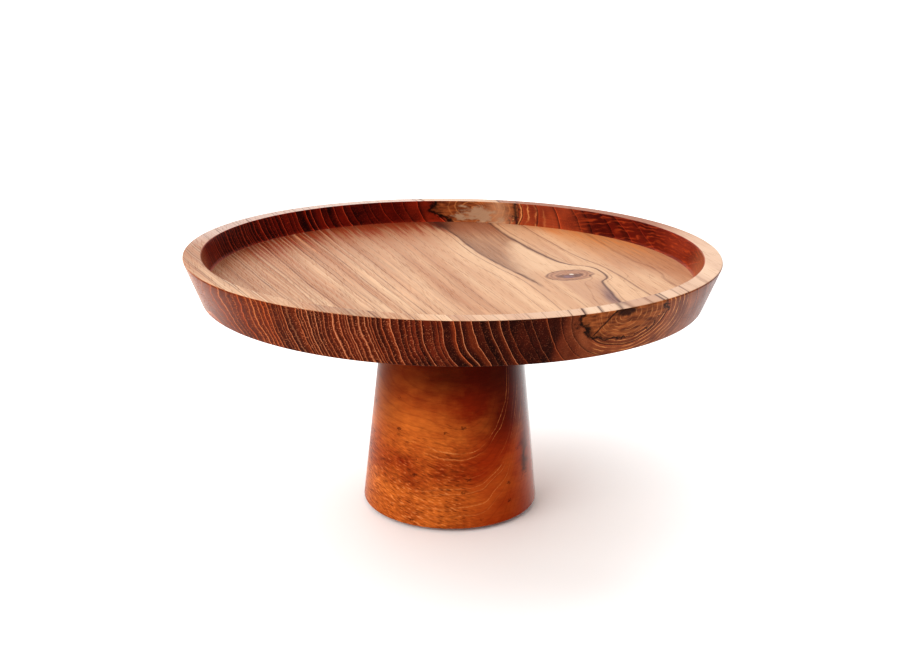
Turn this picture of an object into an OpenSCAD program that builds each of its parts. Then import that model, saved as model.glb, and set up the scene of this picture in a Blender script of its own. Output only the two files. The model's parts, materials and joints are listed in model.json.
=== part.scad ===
// Footed cake stand: a turned teak plate with a raised rim, screwed on to a tapered teak pedestal.
// Millimetres, +Z up. The origin is the centre of the footprint, on the surface the foot pads rest on.

/* [Plate] */
// Diameter over the rim, the widest point of the stand
plate_d = 300; // [200:5:400]
// Height of the plate from its underside to the top of the rim
plate_h = 25; // [24:1:40]
// How far the outer wall leans in from the rim to the underside
plate_flare = 9.3; // [0:0.1:15]
// Width of the flat rim top
rim_w = 10; // [6:0.5:20]
// Depth of the recess that holds the cake, below the rim
recess_depth = 13.5; // [6:0.5:13.5]
// How far the inner wall leans in from the rim to the floor
recess_flare = 3.3; // [0:0.1:8]
// Rounding of the rim's edges
rim_ease = 0.8; // [0.3:0.1:2]
// Rounding of the edge between the outer wall and the underside
under_ease = 1.2; // [0.3:0.1:3]
// Cove between the inner wall and the floor
floor_cove = 2; // [0.5:0.5:5]

/* [Pedestal] */
// Height of the wooden pedestal, without the foot pads
pedestal_h = 126; // [80:1:200]
// Diameter at the top, under the plate
pedestal_top_d = 76.6; // [72:0.2:110]
// Diameter at the foot
pedestal_foot_d = 102.8; // [96:0.2:160]
// Rounding of the pedestal's two rims
pedestal_ease = 1; // [0.3:0.1:3]

/* [Screw joint] */
// Outer diameter of the stud's thread
thread_d = 8; // [6, 8]
// Pitch of the thread, the rise of the plate for each full turn
thread_pitch = 1.25; // [1, 1.25]
// How far the stud stands out under the plate
stud_reach = 18; // [14:0.5:19]
// Radial play between the stud and the threaded insert
thread_play = 0.05; // [0.02:0.01:0.1]
// Diameter of the steel mounting flange
flange_d = 58; // [52:1:66]
// Thickness of the mounting flange
flange_t = 2.5; // [2:0.1:3]
// Diameter of the circle that the flange screws lie on
screw_circle_d = 42; // [34:1:44]
// Number of flange screws
screw_count = 4; // [3:1:6]
// Length of a flange screw, head included
screw_l = 9; // [7:0.5:9]
// Length of the threaded insert, collar included
insert_l = 20; // [16:0.5:24]
// Outer diameter of the joint washer
washer_d = 25.6; // [20:0.2:27]
// Thickness of the joint washer
washer_t = 1.5; // [1:0.1:3]

/* [Feet] */
// Number of foot pads
pad_count = 4; // [3:1:6]
// Diameter of a foot pad
pad_d = 12; // [8:0.5:14]
// Thickness of a foot pad
pad_t = 2; // [1:0.1:3]
// Diameter of the circle that the foot pads lie on
pad_circle_d = 76; // [60:1:78]

/* [Hidden] */
$fn = 96;
// Points on each rounded edge, and the side-by-side gap between fixed pieces
round_steps = 6;
fit_gap = 0.05;
// How far a cutting shape reaches past the face it cuts, so that no skin is left
past = 1;

// Heights, from the table up: the pedestal's foot, the joint under the plate, the insert's collar
pedestal_z = pad_t;
joint_z = pedestal_z + pedestal_h;
collar_z = joint_z - washer_t;

// Stud: a flat head held between the flange and the plate, and a tip bevelled as deep as the thread
stud_r = thread_d / 2;
stud_head_r = 7;
stud_head_h = 3;
stud_tip_h = 0.8 * thread_pitch;

// Flange screw: a countersunk wood screw
screw_r = 1.75;
screw_head_r = 3.3;
screw_head_h = 1.8;
screw_tip_h = 2.5;
screw_point_r = 0.3;

// Threaded insert: a collar and a hexagon socket for the key that drives it in
insert_r = 6;
collar_r = 8;
collar_h = 1.2;
key_af = 8.6;
key_depth = 3;
chip_room = 2.5;

// Joint washer: radial play round the stud and in the pedestal's top
washer_hole_play = 0.3;
washer_seat_play = 0.2;

// Foot pad: rounding of the edge that meets the table
pad_ease = 0.4;

wood = [0.72, 0.44, 0.25];
pedestal_wood = [0.74, 0.40, 0.16];
zinc = [0.76, 0.77, 0.78];
brass = [0.80, 0.65, 0.35];
black_rubber = [0.10, 0.10, 0.10];
grey_rubber = [0.22, 0.21, 0.20];

function unit(v) = v / norm(v);

// Points of an arc of radius r that rounds the corner p between its neighbours a and b
function corner(a, p, b, r) =
    let (
        ua = unit(a - p),
        ub = unit(b - p),
        half = acos(ua * ub) / 2,
        centre = p + unit(ua + ub) * r / sin(half),
        from = p + ua * r / tan(half) - centre,
        to = p + ub * r / tan(half) - centre,
        start = atan2(from.y, from.x),
        turn = atan2(from.x * to.y - from.y * to.x, from * to)
    )
    [for (i = [0:round_steps]) centre + r * [cos(start + turn * i / round_steps),
                                            sin(start + turn * i / round_steps)]];

// An outline of [x, y, rounding] corners as plain points
function outline(c) =
    let (n = len(c), at = function (i) [c[(i + n) % n].x, c[(i + n) % n].y])
    [for (i = [0:n - 1]) each c[i][2] > 0 ? corner(at(i - 1), at(i), at(i + 1), c[i][2]) : [at(i)]];

// A solid turned on the lathe from an outline of [radius, height, rounding] corners
module turned(corners) {
    rotate_extrude($fn = 180)
        polygon(outline(corners));
}

// The place of piece i of n on a circle, starting at 45 degrees
module on_circle(d, i, n) {
    angle = 45 + 360 * (i - 1) / n;
    translate([d / 2 * cos(angle), d / 2 * sin(angle), 0])
        rotate([0, 0, angle])
            children();
}

// A countersunk screw with its head's flat face at z = 0 and its point up, grown by gap on every side
module screw_shape(gap) {
    cylinder(r1 = screw_head_r + gap, r2 = screw_r + gap, h = screw_head_h);
    cylinder(r = screw_r + gap, h = screw_l - screw_tip_h + gap);
    translate([0, 0, screw_l - screw_tip_h + gap])
        cylinder(r1 = screw_r + gap, r2 = screw_point_r, h = screw_tip_h);
}

// Turned teak plate, with a stepped seat for the flange and holes for its screws in the underside
module plate() {
    plate_r = plate_d / 2;
    lean = atan(plate_flare / plate_h);
    // The rim's sharp corner lies outside its rounding, which is the widest point
    rim_r = plate_r + rim_ease * (tan(lean) + 1 / cos(lean) - 1);
    floor_h = plate_h - recess_depth;
    inner_r = plate_r - rim_w;
    seat_r = flange_d / 2 + fit_gap;
    head_r = stud_head_r + fit_gap;
    head_z = flange_t + stud_head_h + fit_gap;
    color(wood)
        translate([0, 0, joint_z])
            difference() {
                turned([
                    [0, flange_t, 0],
                    [seat_r, flange_t, 0],
                    [seat_r, 0, 0],
                    [plate_r - plate_flare, 0, under_ease],
                    [rim_r, plate_h, rim_ease],
                    [inner_r, plate_h, rim_ease],
                    [inner_r - recess_flare, floor_h, floor_cove],
                    [0, floor_h, 0]
                ]);
                translate([0, 0, flange_t - past])
                    cylinder(r = head_r, h = head_z - flange_t + past);
                for (i = [1:screw_count])
                    on_circle(screw_circle_d, i, screw_count)
                        screw_shape(fit_gap);
            }
}

// Steel disc let in flush with the plate's underside
module mounting_flange() {
    color(zinc)
        translate([0, 0, joint_z])
            difference() {
                cylinder(d = flange_d, h = flange_t);
                translate([0, 0, -past])
                    cylinder(r = stud_r + fit_gap, h = flange_t + 2 * past);
                for (i = [1:screw_count])
                    on_circle(screw_circle_d, i, screw_count)
                        screw_shape(fit_gap);
            }
}

// Threaded stud, headed above the flange and pointing down into the pedestal
module connecting_stud() {
    color(zinc)
        translate([0, 0, joint_z]) {
            translate([0, 0, flange_t])
                cylinder(r = stud_head_r, h = stud_head_h);
            translate([0, 0, stud_tip_h - stud_reach])
                cylinder(r = stud_r, h = stud_reach - stud_tip_h + flange_t);
            translate([0, 0, -stud_reach])
                cylinder(r1 = stud_r - stud_tip_h, r2 = stud_r, h = stud_tip_h);
        }
}

// Countersunk wood screw number i, driven up through the flange into the plate
module flange_screw(i) {
    color(zinc)
        translate([0, 0, joint_z])
            on_circle(screw_circle_d, i, screw_count)
                screw_shape(0);
}

// Threaded insert sunk in the pedestal's top, with a collar and a hexagon socket
module threaded_insert() {
    color(brass)
        translate([0, 0, collar_z])
            difference() {
                union() {
                    translate([0, 0, -insert_l])
                        cylinder(r = insert_r, h = insert_l);
                    translate([0, 0, -collar_h])
                        cylinder(r = collar_r, h = collar_h);
                }
                translate([0, 0, -insert_l - past])
                    cylinder(r = stud_r + thread_play, h = insert_l + 2 * past);
                translate([0, 0, -key_depth])
                    cylinder(d = key_af / cos(30), h = key_depth + past, $fn = 6);
            }
}

// Soft washer between the flange and the pedestal, let in flush with the pedestal's top
module joint_washer() {
    color(grey_rubber)
        translate([0, 0, collar_z])
            difference() {
                cylinder(d = washer_d, h = washer_t);
                translate([0, 0, -past])
                    cylinder(r = stud_r + washer_hole_play, h = washer_t + 2 * past);
            }
}

// Tapered teak pedestal with a stepped hole for the insert and the washer
module pedestal() {
    color(pedestal_wood)
        translate([0, 0, pedestal_z])
            difference() {
                turned([
                    [0, 0, 0],
                    [pedestal_foot_d / 2, 0, pedestal_ease],
                    [pedestal_top_d / 2, pedestal_h, pedestal_ease],
                    [0, pedestal_h, 0]
                ]);
                translate([0, 0, pedestal_h - washer_t])
                    cylinder(r = washer_d / 2 + washer_seat_play, h = washer_t + past);
                translate([0, 0, pedestal_h - washer_t - collar_h])
                    cylinder(r = collar_r + fit_gap, h = collar_h + past);
                translate([0, 0, pedestal_h - washer_t - insert_l - chip_room])
                    cylinder(r = insert_r + fit_gap, h = insert_l + chip_room + past);
            }
}

// Self-adhesive rubber pad number i under the pedestal
module foot_pad(i) {
    color(black_rubber)
        on_circle(pad_circle_d, i, pad_count)
            rotate_extrude()
                polygon(outline([
                    [0, 0, 0],
                    [pad_d / 2 - pad_ease / 2, 0, pad_ease],
                    [pad_d / 2, pad_t, 0],
                    [0, pad_t, 0]
                ]));
}

pedestal();
threaded_insert();
joint_washer();
plate();
mounting_flange();
connecting_stud();
for (i = [1:screw_count])
    flange_screw(i);
for (i = [1:pad_count])
    foot_pad(i);
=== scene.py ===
"""The looks of a footed cake stand: two pieces of turned teak, their screw joint, and rubber pads.

Lengths in the meshes are metres in the frame's own axes. The wood's figure is a solid texture: growth
rings, rays and pores are fields in millimetres, so a line on the plate's floor runs on down its walls.
"""

import json
import math
from types import SimpleNamespace

import bmesh
import bpy
import numpy as np
from mathutils import Matrix, Vector


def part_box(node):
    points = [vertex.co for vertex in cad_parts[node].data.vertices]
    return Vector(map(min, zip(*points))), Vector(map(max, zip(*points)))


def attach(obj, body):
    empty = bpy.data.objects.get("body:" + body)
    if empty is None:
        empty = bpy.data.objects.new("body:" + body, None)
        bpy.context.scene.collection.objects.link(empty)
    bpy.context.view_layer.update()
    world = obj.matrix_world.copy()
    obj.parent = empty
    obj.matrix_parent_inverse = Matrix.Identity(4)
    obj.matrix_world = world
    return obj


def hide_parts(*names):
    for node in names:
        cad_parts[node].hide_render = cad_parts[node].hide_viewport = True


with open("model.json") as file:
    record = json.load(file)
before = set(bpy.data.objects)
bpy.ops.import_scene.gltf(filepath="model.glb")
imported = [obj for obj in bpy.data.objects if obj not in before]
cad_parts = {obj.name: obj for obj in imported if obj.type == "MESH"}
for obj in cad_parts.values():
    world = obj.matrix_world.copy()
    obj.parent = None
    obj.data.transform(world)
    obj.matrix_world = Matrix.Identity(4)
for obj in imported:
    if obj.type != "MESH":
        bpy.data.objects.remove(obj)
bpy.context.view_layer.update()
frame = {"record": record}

MM = 0.001
TURN = 2 * math.pi

# ---- sizes from the frame

plate_low, plate_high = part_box("plate")
pedestal_low, pedestal_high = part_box("pedestal")
stud_low, stud_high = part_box("connecting_stud")
insert_low, insert_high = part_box("threaded_insert")
flange_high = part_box("mounting_flange")[1]
washer_low, washer_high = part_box("joint_washer")
screw_low, screw_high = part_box("flange_screw_1")

rim_z = plate_high.z
joint_z = plate_low.z
table_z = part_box("foot_pad_1")[0].z


def frame_mount(name):
    """The place of one of the record's mounts."""
    return next(Vector(m["pos_m"]) for m in frame["record"]["mounts"] if m["name"] == name)


# Turned outlines, as in the CAD
PLATE_FLARE = 9.3 * MM
RIM_W = 10 * MM
RECESS_FLARE = 3.3 * MM
RIM_EASE = 0.8 * MM
UNDER_EASE = 1.2 * MM
FLOOR_COVE = 2 * MM
PEDESTAL_FOOT_R = 51.4 * MM
PEDESTAL_TOP_R = 38.3 * MM
PEDESTAL_EASE = 1 * MM

# Gaps between pieces: all round a fixed piece, past a screw's point, and round the soft washer
FIT_GAP = 0.05 * MM
POINT_GAP = 0.3 * MM
WASHER_SEAT_PLAY = 0.2 * MM
WASHER_HOLE_PLAY = 0.3 * MM

# Stud and insert. The stud's thread runs in the insert, and a coarse thread holds the insert in the wood.
STUD_R = 4 * MM
STUD_ROOT = 3.3 * MM
STUD_PITCH = 1.25 * MM
STUD_BEVEL = 1 * MM
THREAD_PLAY = 0.05 * MM
INSERT_R = 6 * MM
INSERT_CORE = 5.1 * MM
WOOD_PITCH = 3 * MM
COLLAR_H = 1.2 * MM
CHIP_ROOM = 2.5 * MM
KEY_AF = 8.6 * MM
KEY_DEPTH = 3 * MM

# Flange screws. Each bar of the cross-head recess is (length, width, height) in millimetres at either end.
SCREW_COUNT = 4
SCREW_R = 1.75 * MM
SCREW_HEAD_R = 3.3 * MM
SCREW_HEAD_H = 1.8 * MM
SCREW_TIP_H = 2.5 * MM
SCREW_PITCH = 1.3 * MM
SCREW_L = screw_high.z - screw_low.z
RECESS_MOUTH = (3.6, 0.95, -0.5)
RECESS_BOTTOM = (1.1, 0.3, 1.7)

# Rows of points to each turn of a thread
THREAD_ROWS = 12
SCREW_ROWS = 10

# Foot pads, and the depth of the dish in their undersides
PAD_COUNT = 4
PAD_DISH = 0.25 * MM

# ---- meshes


def corner(a, p, b, radius, steps):
    """Points of the arc that rounds corner p of an outline between its neighbours a and b."""
    a, p, b = Vector(a), Vector(p), Vector(b)
    ua, ub = (a - p).normalized(), (b - p).normalized()
    half = ua.angle(ub) / 2
    centre = p + (ua + ub).normalized() * radius / math.sin(half)
    first = p + ua * radius / math.tan(half) - centre
    last = p + ub * radius / math.tan(half) - centre
    turn = math.atan2(first.x * last.y - first.y * last.x, first.dot(last))
    points = []
    for k in range(steps + 1):
        s, c = math.sin(turn * k / steps), math.cos(turn * k / steps)
        points.append((centre.x + c * first.x - s * first.y, centre.y + s * first.x + c * first.y))
    return points


def outline(corners, steps=8, longest=4 * MM):
    """(radius, height, rounding) corners as points, with long straight stretches divided."""
    points = []
    for k, (r, z, rounding) in enumerate(corners):
        before, after = corners[k - 1][:2], corners[(k + 1) % len(corners)][:2]
        points += corner(before, (r, z), after, rounding, steps) if rounding else [(r, z)]
    full = []
    for k, p in enumerate(points[:-1]):
        q = points[k + 1]
        parts = max(1, math.ceil(math.dist(p, q) / longest))
        full += [(p[0] + (q[0] - p[0]) * i / parts, p[1] + (q[1] - p[1]) * i / parts) for i in range(parts)]
    return full + [points[-1]]


def turned(name, stations, segments=360, closed=False, centre=(0, 0), sharp=40):
    """A solid of revolution through stations of (radius, height), each a number or one value per segment.

    A station of radius 0 is a point on the axis. A closed outline is a ring with no end on the axis.
    """
    mesh = bmesh.new()
    angles = [TURN * k / segments for k in range(segments)]
    rows = []
    for radius, height in stations:
        if np.ndim(radius) == 0 and radius == 0:
            rows.append([mesh.verts.new((centre[0], centre[1], float(height)))])
            continue
        radii, heights = np.broadcast_to(radius, segments), np.broadcast_to(height, segments)
        rows.append([
            mesh.verts.new((centre[0] + r * math.cos(a), centre[1] + r * math.sin(a), z))
            for a, r, z in zip(angles, radii, heights)
        ])
    pairs = list(zip(rows, rows[1:])) + ([(rows[-1], rows[0])] if closed else [])
    for one, two in pairs:
        for k in range(segments):
            n = (k + 1) % segments
            face = [one[k], one[n], two[n], two[k]] if len(one) > 1 < len(two) else None
            if face is None and len(one) == 1:
                face = [one[0], two[n], two[k]]
            elif face is None:
                face = [one[k], one[n], two[0]]
            mesh.faces.new(face)
    bmesh.ops.recalc_face_normals(mesh, faces=mesh.faces)
    return as_object(name, mesh, sharp)


def as_object(name, mesh, sharp):
    """A bmesh as a smooth-shaded object, with edges over the given angle in degrees kept sharp."""
    data = bpy.data.meshes.new(name)
    mesh.to_mesh(data)
    mesh.free()
    data.polygons.foreach_set("use_smooth", [True] * len(data.polygons))
    data.set_sharp_from_angle(angle=math.radians(sharp))
    piece = bpy.data.objects.new(name, data)
    bpy.context.scene.collection.objects.link(piece)
    return piece


def cut(piece, cutters, sharp=40):
    """Takes the cutters out of a piece and deletes them."""
    for cutter in cutters:
        modifier = piece.modifiers.new("cut", "BOOLEAN")
        modifier.object = cutter
        modifier.solver = "EXACT"
    bpy.context.view_layer.update()
    graph = bpy.context.evaluated_depsgraph_get()
    data = bpy.data.meshes.new_from_object(piece.evaluated_get(graph))
    piece.modifiers.clear()
    piece.data = data
    data.set_sharp_from_angle(angle=math.radians(sharp))
    for cutter in cutters:
        bpy.data.objects.remove(cutter)


def finish_piece(piece, body, node, material):
    """Puts a piece on its body in place of its CAD node."""
    piece.data.materials.clear()
    piece.data.materials.append(material)
    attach(piece, body)
    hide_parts(node)


# ---- node formulas


def srgb(red, green, blue):
    """A colour given as 0 to 255 screen values, as the linear values that shaders take."""
    def linear(v):
        v = v / 255
        return v / 12.92 if v <= 0.04045 else ((v + 0.055) / 1.055) ** 2.4

    return (linear(red), linear(green), linear(blue), 1.0)


# The studio's light is this much brighter than makes a white surface look white.
STUDIO_LIGHT = 1.55


def seen(red, green, blue):
    """The colour of a surface that looks like these 0 to 255 screen values in the studio's light."""
    return tuple(v / STUDIO_LIGHT for v in srgb(red, green, blue)[:3]) + (1.0,)


def arithmetic(operation, flip=False):
    """A method that combines a field with a number or with another field."""
    def method(self, other):
        return self.graph.math(operation, *((other, self) if flip else (self, other)))

    return method


class Field:
    """A value somewhere in a material's node tree, with arithmetic."""

    def __init__(self, graph, socket):
        self.graph, self.socket = graph, socket

    __add__ = __radd__ = arithmetic("ADD")
    __sub__ = arithmetic("SUBTRACT")
    __rsub__ = arithmetic("SUBTRACT", flip=True)
    __mul__ = __rmul__ = arithmetic("MULTIPLY")
    __truediv__ = arithmetic("DIVIDE")
    __pow__ = arithmetic("POWER")

    def __neg__(self):
        return self * -1.0


class Graph:
    """One procedural material, built from formulas."""

    def __init__(self, name):
        self.material = bpy.data.materials.new(name)
        self.material.use_nodes = True
        self.nodes, self.links = self.material.node_tree.nodes, self.material.node_tree.links
        self.nodes.clear()
        self.coordinates = self.nodes.new("ShaderNodeTexCoord")

    def put(self, value, socket):
        if isinstance(value, Field):
            self.links.new(value.socket, socket)
        else:
            socket.default_value = value

    def math(self, operation, *values, clamp=False):
        node = self.nodes.new("ShaderNodeMath")
        node.operation, node.use_clamp = operation, clamp
        for value, socket in zip(values, node.inputs):
            self.put(value, socket)
        return Field(self, node.outputs[0])

    def clamp(self, value):
        """A value held between 0 and 1."""
        return self.math("ADD", value, 0.0, clamp=True)

    def split(self, socket):
        node = self.nodes.new("ShaderNodeSeparateXYZ")
        self.links.new(socket, node.inputs[0])
        return [Field(self, s) for s in node.outputs]

    def position(self):
        """The piece's own coordinates, which are the frame's, in millimetres."""
        return [v * (1 / MM) for v in self.split(self.coordinates.outputs["Object"])]

    def normal(self):
        return self.split(self.coordinates.outputs["Normal"])

    def vector(self, x, y, z):
        node = self.nodes.new("ShaderNodeCombineXYZ")
        for value, socket in zip((x, y, z), node.inputs):
            self.put(value, socket)
        return Field(self, node.outputs[0])

    def noise(self, x, y, z, detail=2.0, roughness=0.5):
        """Smooth noise from -1 to 1, mostly within half of that."""
        node = self.nodes.new("ShaderNodeTexNoise")
        self.put(self.vector(x, y, z), node.inputs["Vector"])
        node.inputs["Scale"].default_value = 1.0
        node.inputs["Detail"].default_value = detail
        node.inputs["Roughness"].default_value = roughness
        return Field(self, node.outputs["Fac"]) * 2.0 - 1.0

    def cells(self, x, y, z):
        """(distance to the nearest scattered point, that point's own random value)."""
        node = self.nodes.new("ShaderNodeTexVoronoi")
        self.put(self.vector(x, y, z), node.inputs["Vector"])
        node.inputs["Scale"].default_value = 1.0
        return Field(self, node.outputs["Distance"]), self.split(node.outputs["Color"])[0]

    def chance(self, value, seed=0.0):
        """A random value from 0 to 1 for each whole number."""
        node = self.nodes.new("ShaderNodeTexWhiteNoise")
        node.noise_dimensions = "1D"
        self.put(value + seed, node.inputs["W"])
        return Field(self, node.outputs["Value"])

    def ramp(self, value, low, high):
        """0 below low, 1 above high, and smooth between. The limits may be given in falling order."""
        node = self.nodes.new("ShaderNodeMapRange")
        node.interpolation_type = "SMOOTHSTEP"
        for v, name in ((value, "Value"), (low, "From Min"), (high, "From Max")):
            self.put(v, node.inputs[name])
        return Field(self, node.outputs["Result"])

    def bell(self, value, middle, width):
        """1 where value is middle, falling off within about width of it."""
        t = (value - middle) / width
        return self.math("EXPONENT", -(t * t))

    def curve(self, value, points):
        """A smooth curve through (value, result) points in rising order."""
        xs, ys = [p[0] for p in points], [p[1] for p in points]
        low, high = min(ys), max(ys)
        node = self.nodes.new("ShaderNodeFloatCurve")
        line = node.mapping.curves[0]
        for _ in points[2:]:
            line.points.new(0.5, 0.5)
        for k, (x, y) in enumerate(points):
            line.points[k].location = ((x - xs[0]) / (xs[-1] - xs[0]), (y - low) / (high - low))
        node.mapping.update()
        self.put((value - xs[0]) / (xs[-1] - xs[0]), node.inputs["Value"])
        return Field(self, node.outputs[0]) * (high - low) + low

    def blend(self, share, one, two):
        """From value one to value two as share goes from 0 to 1."""
        return self.mix(share, one, two, "FLOAT")

    def mix(self, share, one, two, kind="RGBA", how="MIX"):
        """From colour one to colour two as share goes from 0 to 1."""
        node = self.nodes.new("ShaderNodeMix")
        node.data_type = kind
        node.blend_type = how
        node.clamp_factor = True
        first = {"FLOAT": 2, "RGBA": 6}[kind]
        self.put(share, node.inputs[0])
        self.put(one, node.inputs[first])
        self.put(two, node.inputs[first + 1])
        return Field(self, node.outputs[{"FLOAT": 0, "RGBA": 2}[kind]])

    def stain(self, colour, share, red, green, blue):
        """A colour changed by a share from 0 to 1 towards one that is given as it is seen."""
        return self.mix(share, colour, seen(red, green, blue))

    def filtered(self, colour, red, green, blue):
        """A colour with its three parts multiplied."""
        return self.mix(1.0, colour, (red, green, blue, 1.0), how="MULTIPLY")

    def scale(self, colour, amount):
        """A colour made brighter or darker by a field."""
        node = self.nodes.new("ShaderNodeVectorMath")
        node.operation = "SCALE"
        self.put(colour, node.inputs[0])
        self.put(amount, node.inputs["Scale"])
        return Field(self, node.outputs[0])

    def edge_gloss(self, weight, start):
        """A lacquer's weight that grows towards the piece's outline, where oiled wood shines most."""
        node = self.nodes.new("ShaderNodeLayerWeight")
        return self.ramp(Field(self, node.outputs["Facing"]), start, 0.75) * weight

    def surface(self, colour, roughness, height=None, depth=0.1 * MM, **settings):
        """The Principled shader. Settings are numbers or fields for its own sockets."""
        shader = self.nodes.new("ShaderNodeBsdfPrincipled")
        output = self.nodes.new("ShaderNodeOutputMaterial")
        self.links.new(shader.outputs[0], output.inputs["Surface"])
        self.put(colour, shader.inputs["Base Color"])
        self.put(roughness, shader.inputs["Roughness"])
        for name, value in settings.items():
            self.put(value, shader.inputs[name.replace("_", " ")])
        if height is not None:
            bump = self.nodes.new("ShaderNodeBump")
            bump.inputs["Distance"].default_value = depth
            bump.inputs["Strength"].default_value = 1.0
            self.put(height, bump.inputs["Height"])
            self.links.new(bump.outputs[0], shader.inputs["Normal"])
        return self.material


# ---- the plate's wood

# The pith runs level through the plate, from back left to front right, just under the rim's top.
GRAIN_TURN = math.radians(14.0)
PITH_ACROSS = 49.0
PITH_BELOW_RIM = 4.0
# Rings spread towards the back, lean outwards as they rise, and are flattened about the pith.
RING_SPREAD = 0.00117
RING_LEAN = 0.35
RING_FLATTEN = 1.56
# Rings are widest at the pith and narrow outwards to the last ones.
PITH_RING = 10.0
LAST_RING = 1.75
LAST_RING_AT = 150.0
# Radius of the dark heart about the pith
HEART_RADIUS = 25.0
# (place along the pith, half width) of the heart on each side. It bulges to the right round the knot.
HEART_LEFT = ((-150, 25), (-80, 19), (-45, 19), (0, 23.5), (50, 27.5), (90, 28), (140, 32))
HEART_RIGHT = (
    (-150, 25), (-84, 24), (-64, 26), (-44, 28), (-30, 34.5), (-17, 35),
    (-2, 25), (15, 20.5), (63, 17), (97, 16), (140, 17),
)
# (place along the pith, side) of the right edge of the heart's brown band, and of the second line beyond it
BAND_EDGE = ((-60, -16), (-40, -13), (-10, -10), (20, -8), (45, -3), (62, 4), (80, 14), (150, 22))
SECOND_LINE = ((-140, 41), (-72, 40), (-28, 40), (-6, 38), (10, 34), (33, 30), (61, 28), (92, 27), (140, 27))
# Centre of the knot, in the piece's own x and y
KNOT_X = 66.0
KNOT_Y = -9.0


def plate_rings(g, radius):
    """(number, phase, width) of the growth ring at a distance from the pith."""
    uneven = radius + g.noise(radius / 7, 3.1, 0.7, 2.0) * 4.5
    capped = g.math("MAXIMUM", g.math("MINIMUM", uneven, LAST_RING_AT), 0.1)
    fall = LAST_RING_AT / (1 - LAST_RING / PITH_RING)
    share = 1.0 - capped / fall
    count = g.math("LOGARITHM", share, math.e) * (-fall / PITH_RING) + (uneven - capped) / LAST_RING
    return g.math("FLOOR", count), g.math("FRACT", count), share * PITH_RING


def plate_figure(g):
    """The fields of the plate's wood, in millimetres.

    along runs with the fibres, side across them from the pith, and height up from it. radius is the
    distance from the pith as the rings see it. past and ahead reach to the last ring line and the next.
    """
    x, y, z = g.position()
    nx, ny, nz = g.normal()
    cos, sin = math.cos(GRAIN_TURN), math.sin(GRAIN_TURN)
    along = y * cos - x * sin
    across = x * cos + y * sin - PITH_ACROSS
    across += g.noise(across / 30, along / 170, z / 30, 1.0) * 3.0
    across += g.noise(across / 5, along / 45, z / 6, 2.0) * 0.6
    height = z - (rim_z / MM - PITH_BELOW_RIM)
    left = g.math("MINIMUM", across, 0.0) / (1.0 + along * RING_SPREAD)
    side = left + g.math("MAXIMUM", across, 0.0)
    leaning = side + height * g.ramp(g.math("ABSOLUTE", side), 12, 60) * RING_LEAN
    radius = g.math("SQRT", leaning * leaning + (height * RING_FLATTEN) ** 2.0)
    edge = g.blend(g.ramp(side, -8, 8), g.curve(along, HEART_LEFT), g.curve(along, HEART_RIGHT))
    radius += (HEART_RADIUS - edge) * g.bell(radius, edge, 30.0)
    ring, phase, width = plate_rings(g, radius)
    inward = g.ramp(nx * x + ny * y, 0, -12)
    wall_from, wall_to = g.blend(inward, 0.85, 0.992), g.blend(inward, 0.6, 0.94)
    return SimpleNamespace(
        x=x, y=y, z=z, along=along, across=across, height=height, side=side, radius=radius,
        angle=g.math("ARCTAN2", height, leaning),
        ring=ring, width=width, past=phase * width, ahead=(1.0 - phase) * width,
        front=g.ramp(along, 0, -60), back=g.ramp(along, 0, 60),
        on_top=g.ramp(height, 2.0, 3.0), below_rim=g.ramp(height, -5.0, -8.0),
        # How far the surface cuts the fibres, from 0 along them to 1 across them
        ends=g.math("ABSOLUTE", nx * -sin + ny * cos),
        wall=g.ramp(nz, wall_from, wall_to) * g.ramp(nz, -0.995, -0.97),
        inward=inward,
        lacquered=g.ramp(nz, -0.8, -0.4),
    )


def plate_pores(g, f):
    """Tubes along the fibres: dashes on the floor, dots on the walls. Crowded at the start of each ring."""
    distance, own = g.cells(f.across / 0.8, f.along / 16.0, f.z / 0.8)
    size = 0.2 + g.bell(f.past, 0.2, 0.8) * 0.12
    return g.ramp(distance, size + 0.14, size) * g.ramp(own, 0.1, 0.5)


def face_ground(g, f, broad, fine):
    """Tan wood in broad pale and dark bands, redder towards the back left and more orange on the right."""
    tone = 0.4 + g.noise(f.side / 14, f.along / 230, f.height / 20, 2.0) * 0.9
    tone += g.ramp(f.side, 25, 60) * (0.1 + g.ramp(f.along, -45, 0) * 0.5)
    tone += g.ramp(f.side, -30, -50) * 0.25
    tone += (g.chance(f.ring, 0.37) - 0.5) * g.ramp(f.side, -45, -90) * 0.5
    tone += g.ramp(f.side, -95, -130) * g.ramp(f.along, -60, 10) * 0.3
    colour = g.mix(g.clamp(tone), seen(244, 200, 160), seen(198, 140, 102))
    bleed = (broad + fine) * 38.0
    warm = g.ramp(f.along - f.side * 0.4 + bleed, 52, 162)
    colour = g.stain(colour, warm * 0.8, 162, 86, 46)
    amber = g.ramp(f.side, 22, 50) * g.ramp(f.along + bleed * 0.7, -30, 90)
    return g.stain(colour, amber * 0.5, 232, 158, 96)


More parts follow.
